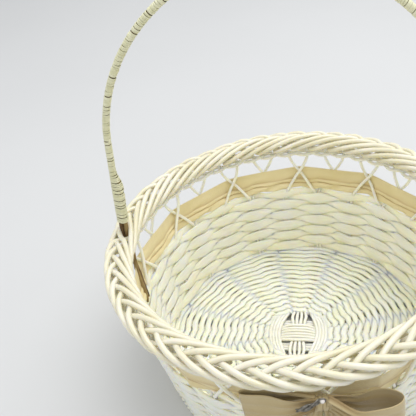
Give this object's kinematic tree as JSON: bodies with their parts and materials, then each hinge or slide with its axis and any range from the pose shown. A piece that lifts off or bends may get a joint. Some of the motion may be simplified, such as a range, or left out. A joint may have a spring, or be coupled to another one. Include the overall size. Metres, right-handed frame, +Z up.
{
  "type": "flower girl basket",
  "caption": "Round woven basket with leaning walls, an openwork band threaded with ribbon, a plaited border, a fixed wrapped hoop handle and a tied bow.",
  "frame": {"origin": "on the axis of the round body, in the plane the basket stands on", "axes": "+Z up; +X towards the right foot of the handle, whose hoop lies in the XZ plane; -Y towards the side with the bow"},
  "size_m": [0.23, 0.2382, 0.2637],
  "materials": {
    "ivory_rods": "satin",
    "ivory_weave": "satin",
    "wall_strip": "satin, finely streaked",
    "border_strands": "glossy",
    "satin_ribbon": "satin weave, crumpled",
    "bow_ribbon": "satin weave, crumpled",
    "clasp_metal": "polished",
    "bead": "pearl",
    "bare_stick": "bare bark",
    "straw_wrap": "matte straw strip"
  },
  "bodies": {
    "root": {"cross_rods_upper": "ivory_rods", "cross_rods_lower": "ivory_rods", "foot_ring": "ivory_weave", "side_stakes": "ivory_rods", "base_row_01": "ivory_weave", "base_row_02": "ivory_weave", "base_row_03": "ivory_weave", "base_row_04": "ivory_weave", "base_row_05": "ivory_weave", "base_row_06": "ivory_weave", "base_row_07": "ivory_weave", "base_row_08": "ivory_weave", "base_row_09": "ivory_weave", "base_row_10": "ivory_weave", "base_row_11": "ivory_weave", "base_row_12": "ivory_weave", "base_row_13": "ivory_weave", "base_row_14": "ivory_weave", "wall_row_01": "wall_strip", "wall_row_02": "wall_strip", "wall_row_03": "wall_strip", "wall_row_04": "wall_strip", "wall_row_05": "wall_strip", "wall_row_06": "wall_strip", "wall_row_07": "wall_strip", "wall_row_08": "wall_strip", "wall_row_09": "wall_strip", "wall_row_10": "wall_strip", "wall_row_11": "wall_strip", "inner_crossings": "ivory_rods", "outer_crossings": "ivory_rods", "upper_wale": "ivory_rods", "border_outer_row": "border_strands", "border_top_row": "border_strands", "border_inner_row": "border_strands", "ribbon_band": "satin_ribbon", "bow_loop_left": "bow_ribbon", "bow_loop_right": "bow_ribbon", "bow_tail_left": "bow_ribbon", "bow_tail_right": "bow_ribbon", "bow_knot": "bow_ribbon", "bow_clasp": "clasp_metal", "bow_bead": "bead", "handle_stick": "bare_stick", "handle_splice_left": "bare_stick", "handle_splice_right": "bare_stick", "handle_wrap_leg_left": "straw_wrap", "handle_wrap_leg_right": "straw_wrap", "handle_wrap_shoulder_left": "straw_wrap", "handle_wrap_shoulder_right": "straw_wrap", "handle_wrap_top": "straw_wrap"}
  },
  "joints": []
}
